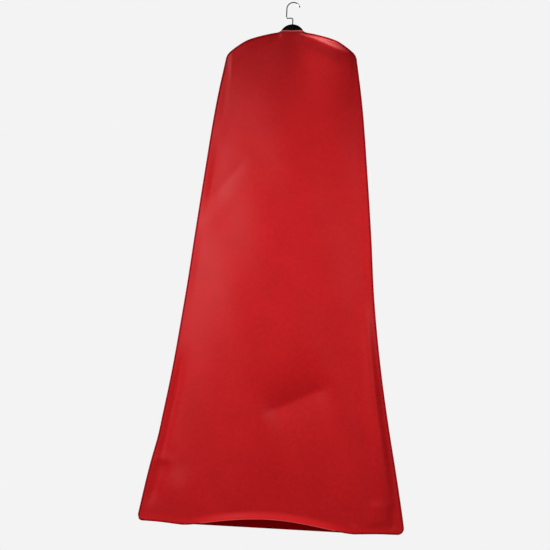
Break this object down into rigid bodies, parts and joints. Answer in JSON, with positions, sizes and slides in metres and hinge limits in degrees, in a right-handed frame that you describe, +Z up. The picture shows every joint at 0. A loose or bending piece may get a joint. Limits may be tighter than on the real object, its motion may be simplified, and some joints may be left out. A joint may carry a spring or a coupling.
{
  "type": "garment bag",
  "caption": "Long flared zipped garment bag of non-woven cloth with pleated side gussets, hanging closed on its moulded hanger with a swivelling wire hook.",
  "frame": {"origin": "the hook's seat: the top of the space inside the hook, where a rail bears", "axes": "+Z up along the hook's shank, +Y towards the zip side, -Y towards the plain back, +X right as seen from the plain back"},
  "size_m": [0.9184, 0.1139, 1.9155],
  "materials": {
    "red_cloth": "satin",
    "dark_red_tape": "satin",
    "zip_tape": "matte",
    "zip_coil": "satin",
    "zip_metal": "gloss",
    "black_plastic": "satin",
    "chrome_wire": "polished",
    "zinc_washer": "satin"
  },
  "bodies": {
    "hook": {"hook": "chrome_wire"},
    "cover": {"hook_washer": "zinc_washer", "hanger_body": "black_plastic", "back_panel": "red_cloth", "front_panel_left": "red_cloth", "front_panel_right": "red_cloth", "side_gusset_left": "red_cloth", "side_gusset_right": "red_cloth", "bottom_gusset": "red_cloth", "neck_facing_back": "red_cloth", "neck_facing_front": "red_cloth", "back_binding": "dark_red_tape", "front_binding": "dark_red_tape", "shoulder_binding_left": "dark_red_tape", "shoulder_binding_right": "dark_red_tape", "zip_tape_left": "zip_tape", "zip_tape_right": "zip_tape", "zip_coil_left": "zip_coil", "zip_coil_right": "zip_coil", "zip_top_stop_left": "zip_metal", "zip_top_stop_right": "zip_metal", "zip_bottom_stop": "zip_metal"},
    "slider": {"zip_slider": "zip_metal"},
    "pull_tab": {"zip_pull_tab": "zip_metal"}
  },
  "joints": [
    {"name": "hook_swivel", "type": "hinge", "parent": "hook", "child": "cover", "pos_m": [0, 0, -0.084], "axis": [0, 0, 1], "continuous": true},
    {"name": "zip_slide", "type": "slide", "parent": "cover", "child": "slider", "axis": [0, -0.0244, 0.9997], "range_m": [0, 1.708]},
    {"name": "pull_tab_swing", "type": "hinge", "parent": "slider", "child": "pull_tab", "pos_m": [0, 0.0564, -1.84474], "axis": [1, 0, 0], "range_deg": [0, 175]}
  ]
}
